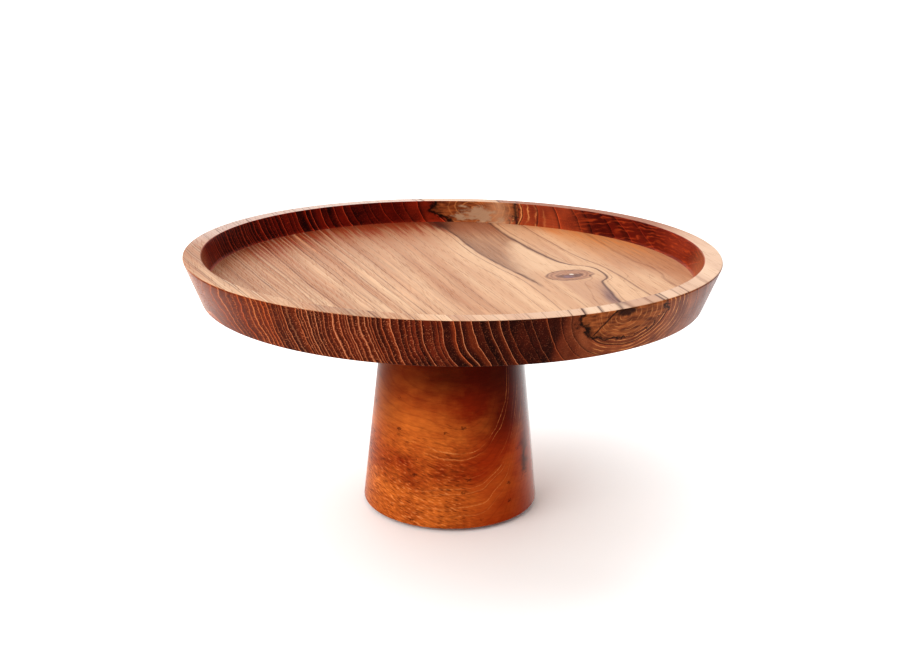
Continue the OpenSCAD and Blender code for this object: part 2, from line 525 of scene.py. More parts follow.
def wall_foot_shade(g, f, colour, broad, fine):
    """Painted shade on the floor at the foot of the wall, most at the back left and ragged along the fibres,
    with pale ring lines.
    """
    reach = g.math("SQRT", f.x * f.x + f.y * f.y) + (broad + fine * 1.3) * 34.0
    # Painted shade at the foot of the back left wall, where the wall shades the floor.
    back_left = g.ramp(reach, 99, 130) * g.ramp(f.along, 25, 75) * g.ramp(f.side, -8, -24)
    colour = g.stain(colour, back_left * f.below_rim * 0.88, 146, 58, 30)
    thin = g.bell(f.past, 0.8, 0.22) * g.ramp(g.chance(f.ring, 0.61), 0.3, 0.8) * g.ramp(reach, 92, 120)
    colour = g.stain(colour, thin * g.ramp(f.along, 20, 60) * f.below_rim * 0.6, 238, 164, 116)
    # Painted shade at the foot of the back right wall, a warmer orange.
    back_right = g.ramp(reach, 122, 136) * g.ramp(f.along, 0, 45) * g.ramp(f.side, 22, 40)
    colour = g.stain(colour, back_right * f.below_rim * 0.5, 220, 132, 70)
    # Browner floor near the wall on the far left.
    far_left = g.ramp(reach, 104, 138) * g.ramp(f.side, -135, -165)
    return g.stain(colour, far_left * f.below_rim * 0.6, 160, 92, 50)


def rim_top(g, f, colour):
    """The rim's flat top: paler on the left, a painted sheen at the back, browner at the back right and the
    front left.
    """
    colour = g.stain(colour, f.on_top * g.ramp(f.side, -140, -50) * 0.45, 246, 214, 190)
    # Painted sheen: whiter at the back left, where the rim's top catches glare.
    back = g.ramp(f.along, 20, 70) * g.ramp(f.side, 15, -20)
    colour = g.stain(colour, f.on_top * back * 0.5, 248, 228, 218)
    back_right = g.ramp(f.along, -10, 50) * g.ramp(f.side, -15, 32)
    colour = g.stain(colour, f.on_top * back_right * 0.95, 170, 104, 74)
    return g.stain(colour, f.on_top * g.bell(f.side, -150, 14) * f.front * 0.4, 150, 108, 84)


def face_rings(g, f, colour):
    """Ring lines: a few strong, most faint, and wider where the rim's top crosses the heart in front."""
    strength = g.ramp(g.chance(f.ring), 0.5, 0.8) * 0.85 + 0.1
    strength *= (0.45 + g.ramp(f.side, 0, -40) * 0.55)
    strength *= (0.9 + g.noise(f.side / 8, f.along / 40, 0.0, 1.0) * 0.8)
    front_rim = f.on_top * g.bell(f.side, 0, 38) * g.ramp(f.along, -70, -105)
    right_rim = f.on_top * g.ramp(f.side, 10, 40) * g.ramp(f.along, -110, -80)
    strength = (strength + front_rim * 0.6) * (1.0 - right_rim)
    dark = g.bell(f.past, 0.0, 0.28 + front_rim * 0.5) + g.bell(f.ahead, 0.0, 0.3 + front_rim * 0.9)
    colour = g.stain(colour, dark * strength, 84, 42, 26)
    pale = g.bell(f.past, 1.1, 0.5) * g.ramp(f.side, -60, -110) * g.chance(f.ring, 0.71)
    return g.stain(colour, pale * 0.35, 250, 214, 180)


def face_colour(g, f, pores):
    """The floor, the rim's top and the underside."""
    broad = g.noise(f.side / 2.6, f.along / 75, f.height / 5, 3.0)
    fine = g.noise(f.side / 0.8, f.along / 34, f.height / 3, 3.0, 0.65)
    colour = wall_foot_shade(g, f, face_ground(g, f, broad, fine), broad, fine)
    streaks = (broad * 0.26 + fine * 0.38) * (0.45 + g.ramp(f.side, -20, -90) * 0.6)
    colour = g.scale(colour, 1.0 + streaks)
    colour = face_rings(g, f, rim_top(g, f, colour))
    return g.stain(colour, pores * 0.25, 134, 78, 50)


def heart_band(g, f, colour, ragged):
    """The heart's wood: cream, with a brown band down its left and a blot at the band's far end."""
    inside = g.ramp(f.radius + ragged * 0.5, 25.3, 24.3)
    under_top = g.ramp(f.height, 3.2, 2.0)
    band = inside * g.ramp(f.side + ragged * 2.0 - g.curve(f.along, BAND_EDGE), 7.0, -6.0)
    band *= g.ramp(f.along, -55, -30) * under_top
    veins = g.noise(f.side / 2.2, f.along / 60, f.height / 3, 3.0, 0.6)
    brown = g.mix(0.5 + veins * 1.1, seen(144, 94, 64), seen(200, 146, 108))
    brown = g.stain(brown, g.ramp(f.along, 70, 115) * 0.75, 140, 66, 38)
    brown = g.stain(brown, g.ramp(f.along, 35, -30) * 0.6, 222, 178, 144)
    near_line = g.bell(f.radius, 25.0, 5.0) * g.ramp(f.side, 0, -8) * g.ramp(f.along, -45, 25)
    brown = g.stain(brown, near_line * 0.6, 122, 74, 48)
    colour = g.stain(colour, inside * g.ramp(f.along, -30, 0) * 0.5, 246, 206, 168)
    colour = g.mix(band * 0.9, colour, brown)
    blot = g.bell(f.side + ragged, -24, 5.5) * g.ramp(f.along + ragged * 4.0, 102, 120) * under_top
    colour = g.stain(colour, blot * 0.85, 66, 32, 28)
    below_knot = inside * g.ramp(f.side + ragged, 1.0, 5.0) * g.ramp(f.along, -25, -45)
    return g.stain(colour, below_knot * 0.5, 198, 146, 114)


def heart_lines(g, f, colour, ragged):
    """The heart's outline, the purple wedge on it, and the two lines that follow it on the right."""
    left_line = g.bell(f.radius + ragged * 0.5, 24.0, 0.7) * g.ramp(f.side, -2, -6)
    left_line *= g.ramp(f.along, -65, -30)
    left_line *= (0.6 + g.noise(f.along / 14, 2.0, f.side / 9, 2.0) * 0.9)
    colour = g.stain(colour, left_line, 92, 52, 38)
    right_line = g.bell(f.radius + ragged * 0.25, 25.0, 0.75) * g.ramp(f.side, 3, 7)
    colour = g.stain(colour, right_line * 0.9, 96, 56, 44)
    wedge = g.bell(f.radius, 23.2, 2.0) * g.ramp(f.side, 8, 14) * g.bell(f.along, -74, 20)
    colour = g.stain(colour, wedge * 0.7, 104, 72, 84)
    second = g.bell(f.side + ragged * 0.3, g.curve(f.along, SECOND_LINE), 0.65)
    second *= (0.75 + g.noise(f.along / 20, 5.0, 1.0, 2.0) * 0.5)
    colour = g.stain(colour, second * 0.8, 104, 56, 38)
    third = g.bell(f.radius + ragged * 0.5, 60.0, 0.9) * g.ramp(f.side, 20, 30)
    return g.stain(colour, third * 0.4, 128, 76, 50)


def heart_colour(g, f, colour):
    """The dark heart along the pith, where the floor and the rim's top cut it."""
    ragged = g.noise(f.side / 3, f.along / 18, f.height / 3, 3.0) * 1.8
    return heart_lines(g, f, heart_band(g, f, colour, ragged), ragged)


def knot_colour(g, f, colour):
    """A small knot beside the heart, shaped like an eye."""
    dx, dy = f.x - KNOT_X, f.y - KNOT_Y
    wobble = g.noise(f.x / 6, f.y / 6, 4.0, 2.0)
    distance = g.math("SQRT", dx * dx * 0.85 + dy * dy - dx * dy * 0.6) + wobble * 2.0
    colour = g.stain(colour, g.ramp(distance, 12.5, 9.5) * f.below_rim * 0.85, 194, 140, 110)
    rings = g.bell(g.math("FRACT", distance / 2.6), 0.5, 0.25) * g.ramp(distance, 13, 9)
    colour = g.stain(colour, rings * f.below_rim * 0.55, 136, 88, 66)
    edge = g.bell(distance, 11.4, 0.8) * (0.7 + wobble)
    colour = g.stain(colour, edge * f.below_rim, 112, 68, 54)
    pupil = g.ramp(distance, 7.8, 5.4) * g.ramp(dx * 0.4 - dy, -3.5, 1.0)
    colour = g.stain(colour, pupil * f.below_rim * 0.8, 106, 66, 60)
    bloom = g.ramp(g.math("SQRT", (dx + 1.0) ** 2.0 + (dy + 4.0) ** 2.0), 4.0, 1.5)
    colour = g.stain(colour, bloom * f.below_rim * 0.6, 150, 116, 128)
    spot = g.ramp(g.math("SQRT", (dx - 1.2) ** 2.0 + (dy - 1.6) ** 2.0), 1.7, 0.8)
    return g.stain(colour, spot * f.below_rim, 246, 230, 214)


def wall_ground(g, f):
    """Dark red-brown end grain, darkest in front, and paler where the wall runs along the fibres."""
    clouds = g.noise(f.side / 9, f.along / 50, f.height / 14, 2.0)
    tone = 0.45 + clouds * 0.9 + (g.chance(f.ring, 0.2) - 0.5) * 0.5
    tone = g.clamp(tone + g.ramp(f.side, -168, -195) * 0.4 - g.bell(f.side, -165, 8) * 0.5)
    deep = g.mix(tone, seen(52, 11, 5), seen(120, 44, 22))
    deep = g.stain(deep, g.bell(f.side, -78, 24) * f.front * 0.8, 36, 8, 4)
    by_heart = g.mix(tone, seen(116, 52, 28), seen(164, 92, 56))
    deep = g.mix(g.ramp(f.side, -48, -24), deep, by_heart)
    deep = g.stain(deep, g.ramp(f.ahead, 2.4, 0.2) * 0.6, 30, 6, 3)
    deep = g.stain(deep, g.ramp(f.side, -170, -197) * 0.25, 160, 80, 36)
    deep = g.stain(deep, g.bell(f.side, -47, 5) * f.front * 0.75, 32, 8, 4)
    paler = g.mix(tone, seen(140, 70, 40), seen(176, 108, 72))
    far_left = g.ramp(f.side, -100, -150) * g.ramp(f.ends, 0.25, 0.0)
    paler = g.stain(paler, far_left * 0.6, 230, 186, 146)
    return g.mix(g.ramp(f.ends, 0.08, 0.5), paler, deep)


def wall_rings(g, f, colour):
    """Rays that run away from the pith, and bright ring lines, each in a faint halo."""
    rays = g.noise(f.angle * 120.0, f.radius / 9, f.along / 30, 2.0, 0.7)
    colour = g.scale(colour, 1.0 + rays * 0.45)
    strength = 0.15 + g.chance(f.ring, 0.55) * 0.85 + g.ramp(f.side, -120, -150) * 0.1
    strength *= g.ramp(f.ends, -0.05, 0.2)
    wander = g.noise(f.side / 2, f.along / 10, f.height / 2, 2.0) * 0.2
    broken = g.ramp(g.noise(f.side / 0.9, f.along / 12, f.height / 0.9, 1.0), -0.55, 0.15)
    line = g.bell(f.past + wander, 0.3, 0.08 + strength * 0.08) * (0.5 + broken * 0.5)
    bright = g.mix(g.chance(f.ring, 0.33), seen(250, 176, 128), seen(224, 124, 76))
    colour = g.mix(line * strength, colour, bright)
    halo = g.bell(f.past, 0.5, 1.1) * strength * 0.25
    return g.stain(colour, halo, 196, 88, 40)


def wall_dots(g, f, colour, pores):
    """Pores cut across, and finer pale dust between them."""
    dots = pores * (0.35 + g.chance(f.ring, 0.9) * 0.65) * g.ramp(f.ends, 0.05, 0.4)
    dots *= (1.0 - g.ramp(f.width, 3.0, 4.5) * 0.65)
    colour = g.stain(colour, dots * 0.75, 206, 124, 84)
    dust = g.ramp(g.noise(f.side / 0.32, f.along / 6, f.height / 0.32, 1.0), 0.3, 0.55)
    return g.stain(colour, dust * g.ramp(f.ends, 0.1, 0.5) * 0.45, 200, 112, 74)


def recess_wall(g, f, colour):
    """The wall round the recess, darker and redder than the outer wall."""
    # A darker, redder tint over the whole wall round the recess.
    oiled = g.filtered(colour, 0.74, 0.3, 0.25)
    amber = g.filtered(colour, 1.15, 0.66, 0.44)
    oiled = g.mix(g.ramp(f.side, 0, 25) * g.ramp(f.along, 40, 80), oiled, amber)
    back_left = g.ramp(f.side, -152, -125) * g.ramp(f.side, -5, -25)
    oiled = g.mix(back_left, oiled, g.filtered(colour, 1.15, 0.42, 0.32))
    wine = g.filtered(colour, 0.42, 0.12, 0.1)
    oiled = g.mix(g.ramp(f.side, 52, 68) * g.ramp(f.along, 2, 42), oiled, wine)
    # Where the right of the wall runs along the fibres, the rings show as flat arches.
    arch = g.math("SQRT", (f.along + 6.0) ** 2.0 * 0.035 + (f.height + 15.0) ** 2.0)
    arch += g.noise(f.along / 14, f.height / 5, 8.0, 2.0) * 3.0
    arches = g.bell(g.math("FRACT", arch / 2.1), 0.5, 0.16) * g.ramp(f.side, 48, 66)
    arches *= g.ramp(g.noise(f.along / 9, f.height / 4, 3.0, 2.0), -0.3, 0.3)
    oiled = g.stain(oiled, arches * 0.5, 206, 86, 38)
    right_end = g.ramp(f.along, -15, -50) * g.ramp(f.side, 40, 60)
    oiled = g.stain(oiled, right_end * 0.5, 196, 124, 86)
    return g.stain(oiled, g.ramp(f.side, -177, -188) * 0.85, 172, 106, 72)


def wall_colour(g, f, pores):
    """The outer wall and the recess's wall, without the heart."""
    colour = wall_dots(g, f, wall_rings(g, f, wall_ground(g, f)), pores)
    # The far left of the outer wall is a warmer, darker brown: painted shade against the front-left light
    # that falls full on it.
    far_left = g.ramp(f.side, -165, -188) * g.ramp(f.ends, 0.08, 0.3)
    colour = g.mix(far_left, colour, g.filtered(colour, 0.82, 0.66, 0.46))
    return g.mix(f.inward, colour, recess_wall(g, f, colour))


def heart_section(g, f, colour, ragged, veins):
    """Browner wood in a dark ragged outline, with bright arcs below and beside it."""
    wide = f.side * (1.0 - g.ramp(f.side, 0, -20) * f.front * 0.14)
    depth = g.math("SQRT", wide * wide + (f.height * 2.1) ** 2.0) + ragged
    inside = g.ramp(depth, 26.5, 23.5)
    brown = g.mix(0.5 + veins * 1.3, seen(88, 38, 18), seen(188, 108, 58))
    colour = g.mix(inside * 0.8, colour, brown)
    around = g.ramp(f.radius, 50, 34) * g.ramp(f.side, -24, -8) * (1.0 - inside * 0.55)
    arcs = g.bell(g.math("FRACT", (f.radius + ragged * 0.12) / 3.1), 0.5, 0.1) * around
    arcs *= g.ramp(g.noise(f.side / 6, f.along / 20, f.height / 5, 1.0), -0.5, 0.3)
    colour = g.stain(colour, arcs, 246, 164, 100)
    thick = 0.5 + g.ramp(f.side, 6, -14) * 2.0
    return g.stain(colour, g.bell(depth, 25.0, thick) * 0.95, 24, 7, 4)


def heart_in_front(g, f, colour, ragged):
    """The dark core under the rim, and a fine check that runs from it down to the left."""
    core = g.math("SQRT", f.side * f.side * 0.14 + (f.height - 2.5) ** 2.0) + ragged * 0.12
    colour = g.stain(colour, g.ramp(core, 3.4, 1.6) * f.front * 0.9, 36, 12, 7)
    check = g.bell((f.side + 6.5 - (f.height - 4.0) * 1.04) * 0.7 + ragged * 0.05, 0.0, 0.5)
    return g.stain(colour, check * g.ramp(f.height, -9.5, -8) * f.front, 26, 8, 4)


def heart_behind(g, f, colour, ragged, veins):
    """At the back the heart is paler, between a bright band and a dark line."""
    bright = g.bell(f.side, 14, 7) * (0.75 + ragged * 0.05)
    colour = g.stain(colour, bright * f.back * 0.75, 216, 160, 120)
    pale = g.math("SQRT", (f.side - 3.0) ** 2.0 * 0.25 + (f.height + 5.0) ** 2.0 * 1.4)
    pale = g.ramp(pale + ragged * 0.9 + veins * 4.0, 7.0, 2.5)
    colour = g.stain(colour, pale * f.back * 0.85, 196, 156, 124)
    return g.stain(colour, g.bell(f.side + ragged * 0.2, 24.0, 1.2) * f.back * 0.85, 40, 18, 12)


def heart_on_walls(g, f, colour):
    """The heart where the walls cut it."""
    ragged = g.noise(f.side / 9, f.along / 30, f.height / 6, 4.0, 0.6) * 13.0
    veins = g.noise(f.side / 7, f.along / 30, f.height / 1.6, 3.0)
    colour = heart_section(g, f, colour, ragged, veins)
    return heart_behind(g, f, heart_in_front(g, f, colour, ragged), ragged, veins)


def teak_plate():
    """Oiled teak with the grain of a flat-sawn board, sealed to a satin."""
    g = Graph("teak_plate")
    f = plate_figure(g)
    pores = plate_pores(g, f)
    face = knot_colour(g, f, heart_colour(g, f, face_colour(g, f, pores)))
    walls = heart_on_walls(g, f, wall_colour(g, f, pores))
    height = pores * -0.8 - g.bell(f.past, 0.0, 0.5) * 0.5
    height += g.noise(f.side / 0.9, f.along / 25, f.height, 3.0) * 0.3
    roughness = 0.34 + pores * 0.25 + g.noise(f.side / 4, f.along / 60, f.z / 9, 2.0) * 0.1
    return g.surface(
        g.mix(f.wall, face, walls), roughness, height, 0.05 * MM, Specular_IOR_Level=0.03,
        Coat_Weight=g.edge_gloss(0.3, 0.45) * f.lacquered, Coat_Roughness=0.25, Coat_IOR=1.25,
    )


# ---- the pedestal's wood

# The pedestal's rings are centred high on its front, about an axis that points at the front.
SWIRL_X = 2.0
SWIRL_UP = 90.0
SWIRL_RING = 6.0
# (place across, distance from the axis). Rings crowd together and rise steeply on the right.
RING_CROWDING = ((-55, -26), (-32, -14), (-15, -6), (0, 0), (15, 17), (24, 35), (29, 44), (33, 60), (55, 130))
# (distance from the centre, darkness) of the broad bands
BROAD_BANDS = ((0, 0.6), (18, 0.6), (36, 0.2), (58, 0.75), (78, 0.25), (95, 0.5), (170, 0.7))
# (distance from the centre, strength) of the thin bright arcs
BRIGHT_ARCS = ((45.0, 0.9), (48.5, 0.6), (62.0, 0.3), (68.0, 0.65), (71.0, 0.45), (79.0, 0.6), (84.0, 0.3))


def pedestal_figure(g):
    """The fields of the pedestal's wood, in millimetres.

    up is the height above the foot. radius is the distance from the rings' centre, and uneven wobbles.
    """
    x, y, z = g.position()
    up = z - pedestal_low.z / MM
    dx = g.curve(x - SWIRL_X, RING_CROWDING) + g.noise(x / 40, y / 60, z / 40, 1.0) * 7.0
    dz = up - SWIRL_UP + g.noise(x / 30, y / 60 + 5.0, z / 30, 1.0) * 6.0
    radius = g.math("SQRT", dx * dx + dz * dz)
    curly = g.noise(x / 3.4, y / 5, z + x * 0.3, 2.0) * g.ramp(up, 70, 35) * g.ramp(x, 25, 0)
    return SimpleNamespace(
        x=x, y=y, z=z, up=up, radius=radius, curly=curly,
        uneven=radius + g.noise(x / 7, y / 20, z / 5, 2.0) * 0.9,
        patches=g.noise(x / 17, y / 30, z / 10, 3.0, 0.55),
        streaks=g.noise(x / 6, y / 9, z / 1.1, 3.0, 0.65),
    )


def pedestal_ground(g, f):
    """Orange-brown wood in broad bands, with painted shade under the plate, most on the right, and on the
    left edge.
    """
    tone = g.curve(f.radius, BROAD_BANDS) + f.patches * 0.5
    tone += g.noise(f.x / 5, f.y / 30, f.z / 4, 2.0) * 0.2
    # Partly wood and partly painted shade: darker towards the right, and more so higher up.
    tone += g.ramp(f.x, -16.0, 34.0) * (0.2 + g.ramp(f.up, 20.0, 70.0) * 0.5)
    colour = g.mix(g.clamp(tone), seen(218, 120, 50), seen(142, 44, 12))
    colour = g.stain(colour, g.ramp(f.x, 0, 24) * g.ramp(f.up, 60, 36) * 0.4, 206, 78, 26)
    # Painted shade under the plate, a little lighter towards the left.
    painted_plate_shade = g.ramp(f.up, 66, 88) * (0.5 + g.ramp(f.x, -34, 0) * 0.3)
    colour = g.stain(colour, painted_plate_shade, 64, 10, 2)
    # Painted shade high on the right of the pedestal.
    colour = g.stain(colour, g.ramp(f.x, 8, 32) * g.ramp(f.up, 40, 66) * 0.65, 70, 14, 5)
    # Painted shade on the left edge, where the front-left light falls full on it.
    colour = g.stain(colour, g.ramp(f.x, -22, -38) * g.ramp(f.up, 46, 66) * 0.5, 112, 52, 24)
    return g.scale(colour, 1.0 + f.streaks * 0.3 + f.curly * 0.8)


def pedestal_arcs(g, f, colour):
    """Bright broken arcs, mostly on the right, bright flecks low down, and the dark end of each ring."""
    arcs = 0.0
    for reach, share in BRIGHT_ARCS:
        arcs += g.bell(f.uneven, reach, 0.3) * share
    strength = g.ramp(g.noise(f.x / 12, f.y / 12, f.z / 12, 1.0), -0.5, 0.1)
    strength *= g.ramp(f.x, -34, 0) * g.ramp(f.up, 96, 70)
    broken = g.ramp(g.noise(f.x / 1.2, f.y / 2, f.z / 1.2, 1.0), -0.35, 0.15)
    strength *= (0.3 + broken * 0.7)
    colour = g.stain(colour, arcs * strength * 0.8, 244, 158, 92)
    flecks = g.ramp(f.curly + f.patches * 0.3, 0.15, 0.5) * g.ramp(f.up, 66, 14)
    colour = g.stain(colour, flecks * 0.45, 240, 166, 104)
    past = g.math("FRACT", f.uneven / SWIRL_RING) * SWIRL_RING
    return g.stain(colour, g.ramp(past, 4.6, 6.0) * 0.2, 92, 24, 6)


def pedestal_pores(g, f):
    """Pores as short dashes, nearly level, and most of them low on the left."""
    distance, own = g.cells(f.x / 4.5, f.y / 4.5, (f.z + f.x * 0.22) / 0.85)
    patch = g.noise(f.x / 16, f.y / 25, f.z / 14, 2.0) + g.ramp(f.up, 75, 20) * 0.6
    patch = g.ramp(patch, 0.0, 0.6) * g.ramp(f.x, 22, 5)
    return g.ramp(distance, 0.45, 0.2) * g.ramp(own, 0.2, 0.6) * patch


def pedestal_flaws(g, f, colour):
    """Rare dark specks, and a dark crack low on the right."""
    distance, own = g.cells(f.x / 13, f.y / 13, f.z / 8)
    worn = g.noise(f.x / 1.1, f.y / 1.1, f.z / 0.8, 3.0)
    specks = g.ramp(distance + worn * 0.2, 0.14, 0.05) * g.ramp(own, 0.3, 0.35)
    colour = g.stain(colour, specks * 0.6, 58, 16, 6)
    crack = g.bell(f.x + f.patches * 5.0 + (f.up - 36.0) ** 2.0 * 0.008, 43.0, 1.8) * g.ramp(f.y, 0, -5)
    crack *= g.ramp(f.up + worn * 8.0, 20, 27) * g.ramp(f.up, 58, 34)
    return g.stain(colour, crack * 0.75, 34, 12, 6)


def teak_pedestal():
    """Glossy orange-brown teak, with broad arcs that open upwards and scattered short pores."""
    g = Graph("teak_pedestal")
    f = pedestal_figure(g)
    pores = pedestal_pores(g, f)
    colour = pedestal_arcs(g, f, pedestal_ground(g, f))
    colour = pedestal_flaws(g, f, g.stain(colour, pores * 0.6, 88, 28, 8))
    roughness = 0.3 + pores * 0.25 + f.streaks * 0.05
    polish = 0.25 + g.ramp(f.x, -25, 25) * 0.75
    return g.surface(
        colour, roughness, pores * -0.8 + f.streaks * 0.25, 0.05 * MM, Specular_IOR_Level=0.02,
        Coat_Weight=g.edge_gloss(1.0, 0.3) * polish, Coat_Roughness=0.14, Coat_IOR=1.4,
    )


# ---- metal and rubber


def turned_metal(name, bright, dull, base_roughness):
    """Plated or turned metal: fine rings from the tool, and faint cloudy stains."""
    g = Graph(name)
    x, y, z = g.position()
    radius = g.math("SQRT", x * x + y * y)
    clouds = g.noise(x / 6, y / 6, z / 6, 3.0)
    tool = g.noise(radius / 0.12, 0.0, z / 0.12, 2.0)
    colour = g.mix(0.5 + clouds * 0.9, bright, dull)
    roughness = base_roughness + clouds * 0.1 + tool * 0.06
    return g.surface(colour, roughness, tool, 0.01 * MM, Metallic=1.0)


def rubber(name, one, two):
    """Matt moulded rubber with a fine pebble and a little dust."""
    g = Graph(name)
    x, y, z = g.position()
    distance, _ = g.cells(x / 0.35, y / 0.35, z / 0.35)
    dust = g.noise(x / 4, y / 4, z / 4, 3.0)
    colour = g.mix(0.5 + dust, one, two)
    return g.surface(colour, 0.75 + dust * 0.1, distance, 0.03 * MM)


# ---- wooden pieces


def rim_corner(radius, easing, lean):
    """Radius of the sharp corner whose rounding reaches out to radius."""
    return radius + easing * (math.tan(lean) + 1 / math.cos(lean) - 1)


def screw_places():
    """(x, y) of each flange screw, from the CAD."""
    places = []
    for i in range(1, SCREW_COUNT + 1):
        low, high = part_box(f"flange_screw_{i}")
        places.append(tuple((low + high) / 2)[:2])
    return places


def screw_cutter(name, place):
    """The countersunk hole for one flange screw, a little larger all round."""
    stations = [
        (0, joint_z - 1 * MM),
        (SCREW_HEAD_R + FIT_GAP, joint_z - 1 * MM),
        (SCREW_HEAD_R + FIT_GAP, joint_z),
        (SCREW_R + FIT_GAP, joint_z + SCREW_HEAD_H),
        (SCREW_R + FIT_GAP, joint_z + SCREW_L - SCREW_TIP_H),
        (0, joint_z + SCREW_L + POINT_GAP),
    ]
    return turned(name, stations, segments=48, centre=place)


def plate_wood(material):
    """The plate, with the flange's seat, the pocket for the stud's head and the screw holes below."""
    radius = plate_high.x
    lean = math.atan2(PLATE_FLARE, rim_z - joint_z)
    floor_z = frame_mount("cake_rest").z
    seat_r = flange_high.x + FIT_GAP
    head_r, head_z = stud_high.x + FIT_GAP, stud_high.z + FIT_GAP
    corners = [
        (0, head_z, 0),
        (head_r, head_z, 0),
        (head_r, flange_high.z, 0),
        (seat_r, flange_high.z, 0),
        (seat_r, joint_z, 0.25 * MM),
        (radius - PLATE_FLARE, joint_z, UNDER_EASE),
        (rim_corner(radius, RIM_EASE, lean), rim_z, RIM_EASE),
        (radius - RIM_W, rim_z, RIM_EASE),
        (radius - RIM_W - RECESS_FLARE, floor_z, FLOOR_COVE),
        (0, floor_z, 0),
    ]
    piece = turned("plate_wood", outline(corners), sharp=30)
    cut(piece, [screw_cutter(f"hole_{i}", place) for i, place in enumerate(screw_places())], sharp=30)
    finish_piece(piece, "plate", "plate", material)


def pedestal_wood(material):
    """The pedestal, with the stepped hole for the insert and the washer in its top."""
    washer_r = washer_high.x + WASHER_SEAT_PLAY
    collar_r = insert_high.x + FIT_GAP
    hole_r = INSERT_R + FIT_GAP
    collar_z = insert_high.z
    corners = [
        (0, pedestal_low.z, 0),
        (PEDESTAL_FOOT_R, pedestal_low.z, PEDESTAL_EASE),
        (PEDESTAL_TOP_R, pedestal_high.z, PEDESTAL_EASE),
        (washer_r, pedestal_high.z, 0.2 * MM),
        (washer_r, collar_z, 0),
        (collar_r, collar_z, 0),
        (collar_r, collar_z - COLLAR_H, 0),
        (hole_r, collar_z - COLLAR_H, 0),
        (hole_r, insert_low.z - CHIP_ROOM, 0),
        (0, insert_low.z - CHIP_ROOM, 0),
    ]
    piece = turned("pedestal_wood", outline(corners), sharp=30)
    finish_piece(piece, "pedestal", "pedestal", material)


# ---- fittings


def thread(angles, z, pitch, root, crest, flat=0.15):
    """Radius of a right-hand thread at a height, for each angle. flat is the crest's share of the pitch."""
    phase = (z / pitch - angles / TURN) % 1
    rise = np.clip((0.5 - np.abs(phase - 0.5)) / (0.5 - flat / 2), 0, 1)
    return root + (crest - root) * rise


def threaded_stud(material):
    """The stud: a flat head above the flange, a plain neck in it, and a thread below with a bevelled tip."""
    segments = 72
    angles = TURN * np.arange(segments) / segments
    tip, top = stud_low.z, stud_high.z
    stations = [(0, tip)]
    for z in np.arange(tip, joint_z - 0.3 * MM, STUD_PITCH / THREAD_ROWS):
        bevel = STUD_R - STUD_BEVEL + (z - tip)
        stations.append((np.minimum(thread(angles, z, STUD_PITCH, STUD_ROOT, STUD_R), bevel), z))
    head_r, head_z = stud_high.x, flange_high.z
    stations += [
        (STUD_R, joint_z),
        (STUD_R, head_z),
        (head_r - 0.4 * MM, head_z),
        (head_r, head_z + 0.4 * MM),
        (head_r, top - 0.6 * MM),
        (head_r - 0.6 * MM, top),
        (0, top),
    ]
    piece = turned("stud_threaded", stations, segments=segments, sharp=35)
    finish_piece(piece, "plate", "connecting_stud", material)


def threaded_insert(material):
    """The insert: a coarse wood thread outside, the stud's thread inside, and a hexagon socket."""
    segments = 96
    angles = TURN * np.arange(segments) / segments
    hexagon = KEY_AF / 2 / np.cos(angles % (math.pi / 3) - math.pi / 6)
    top, bottom = insert_high.z, insert_low.z
    step = STUD_PITCH / THREAD_ROWS
    stations = []
    for z in np.arange(bottom, top - COLLAR_H - 0.2 * MM, step):
        taper = min(1.0, 0.72 + (z - bottom) / (5 * MM))
        stations.append((thread(angles, z, WOOD_PITCH, INSERT_CORE, INSERT_R, 0.06) * taper ** 0.3, z))
    stations += [
        (INSERT_CORE, top - COLLAR_H),
        (insert_high.x - 0.2 * MM, top - COLLAR_H),
        (insert_high.x, top - COLLAR_H + 0.2 * MM),
        (insert_high.x, top - 0.2 * MM),
        (insert_high.x - 0.2 * MM, top),
        (hexagon + 0.3 * MM, top),
        (hexagon, top - 0.3 * MM),
        (hexagon, top - KEY_DEPTH),
    ]
    for z in np.arange(top - KEY_DEPTH - step / 2, bottom, -step):
        inner = thread(angles, z, STUD_PITCH, STUD_ROOT, STUD_R) + THREAD_PLAY
        lead_in = STUD_R + THREAD_PLAY - (z - bottom)
        stations.append((np.maximum(inner, lead_in), z))
    piece = turned("insert_threaded", stations, segments=segments, closed=True, sharp=35)
    finish_piece(piece, "pedestal", "threaded_insert", material)


def flat_ring(name, inner, bottom, top, easing, segments):
    """A flat ring from a height up to the top corner of its box, with its outer edges rounded by easing."""
    corners = [
        (inner, bottom, 0.2 * MM),
        (top.x, bottom, easing),
        (top.x, top.z, easing),
        (inner, top.z, 0.2 * MM),
    ]
    return turned(name, outline(corners, steps=4), segments=segments, closed=True)


def flange_disc(material):
    """The flange: a turned disc with a hole for the stud and four countersunk holes."""
    piece = flat_ring("flange_disc", STUD_R + FIT_GAP, joint_z, flange_high, 0.35 * MM, 180)
    cut(piece, [screw_cutter(f"flange_hole_{i}", place) for i, place in enumerate(screw_places())])
    finish_piece(piece, "plate", "mounting_flange", material)


def recess_bar(name, place, turn):
    """One bar of a screw's cross-head recess, tapered towards its bottom."""
    mesh = bmesh.new()
    verts = bmesh.ops.create_cube(mesh, size=1.0)["verts"]
    for v in verts:
        length, width, z = RECESS_BOTTOM if v.co.z > 0 else RECESS_MOUTH
        v.co = Vector((v.co.x * length, v.co.y * width, z)) * MM
    bmesh.ops.rotate(mesh, verts=verts, matrix=Matrix.Rotation(turn, 3, "Z"))
    bmesh.ops.translate(mesh, verts=verts, vec=(*place, joint_z))
    return as_object(name, mesh, 30)


